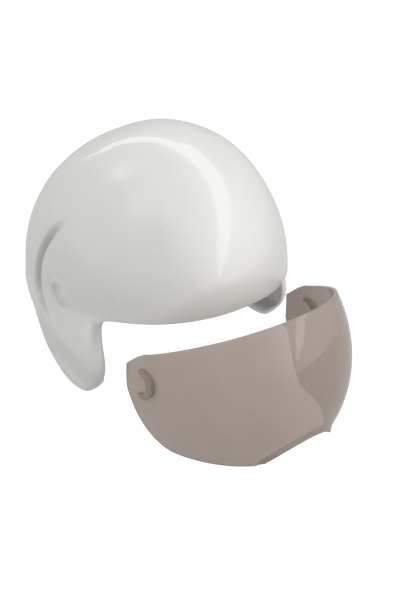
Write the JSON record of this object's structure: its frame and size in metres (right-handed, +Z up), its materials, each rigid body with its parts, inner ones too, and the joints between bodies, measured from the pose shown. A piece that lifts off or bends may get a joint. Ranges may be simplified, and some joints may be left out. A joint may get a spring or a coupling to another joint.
{
  "type": "hard hat",
  "caption": "White hard hat with deep side lobes, a foam liner, a ratchet headband and a taken-off tinted wrap-round visor that clips on side pivots and swings up.",
  "frame": {"origin": "on the visor's pivot axis at mid width, the centre of the wearer's head between the pivots", "axes": "-Y is the front, +X is the wearer's left, +Z is up"},
  "size_m": [0.2458, 0.3535, 0.2615],
  "materials": {
    "shell_white": "glossy off-white moulded plastic",
    "visor_tint": "clear rose-brown tinted polycarbonate with polished edges",
    "liner_foam": "moulded bead foam",
    "pad_cloth": "brushed knit over soft foam",
    "band_grey": "satin moulded plastic",
    "fitting_black": "fine-textured black plastic",
    "steel": "plain steel"
  },
  "bodies": {
    "helmet": {"outer_shell": "shell_white", "eps_liner": "liner_foam", "crown_pad": "pad_cloth", "brow_pad": "pad_cloth", "nape_pad": "pad_cloth", "headband": "band_grey", "band_studs": "fitting_black", "ratchet_housing": "fitting_black", "ratchet_cover": "fitting_black", "cover_screws": "steel", "detent_spring": "steel", "pivot_screw_left": "steel", "pivot_screw_right": "steel"},
    "pivot_bushes": {"pivot_bush_left": "band_grey", "pivot_bush_right": "band_grey"},
    "visor": {"visor_lens": "visor_tint"},
    "rack_left": {"rack_left": "fitting_black"},
    "rack_right": {"rack_right": "fitting_black"},
    "knob": {"drive_pinion": "band_grey", "ratchet_knob": "fitting_black", "knob_screw": "steel"}
  },
  "joints": [
    {"name": "visor_swing", "type": "hinge", "parent": "helmet", "child": "pivot_bushes", "pos_m": [0, 0, 0], "axis": [-1, 0, 0], "range_deg": [0, 93]},
    {"name": "visor_removal", "type": "hinge", "parent": "pivot_bushes", "child": "visor", "pos_m": [0, -0.11594, 0.11166], "axis": [1, 0, 0], "range_deg": [0, 42.54]},
    {"name": "knob_turn", "type": "hinge", "parent": "helmet", "child": "knob", "pos_m": [0, 0.0121, -0.00913], "axis": [0, 0.9397, -0.342], "range_deg": [-110, 110]},
    {"name": "rack_left_slide", "type": "hinge", "parent": "helmet", "child": "rack_left", "pos_m": [0, 0.0121, -0.00913], "axis": [0, 0.342, 0.9397], "range_deg": [-8.2, 8.2]},
    {"name": "rack_right_slide", "type": "hinge", "parent": "helmet", "child": "rack_right", "pos_m": [0, 0.0121, -0.00913], "axis": [0, 0.342, 0.9397], "range_deg": [-8.2, 8.2]}
  ],
  "couplings": [
    {"joint": "rack_left_slide", "follows": "knob_turn", "ratio": -0.07362},
    {"joint": "rack_right_slide", "follows": "knob_turn", "ratio": 0.07362}
  ]
}
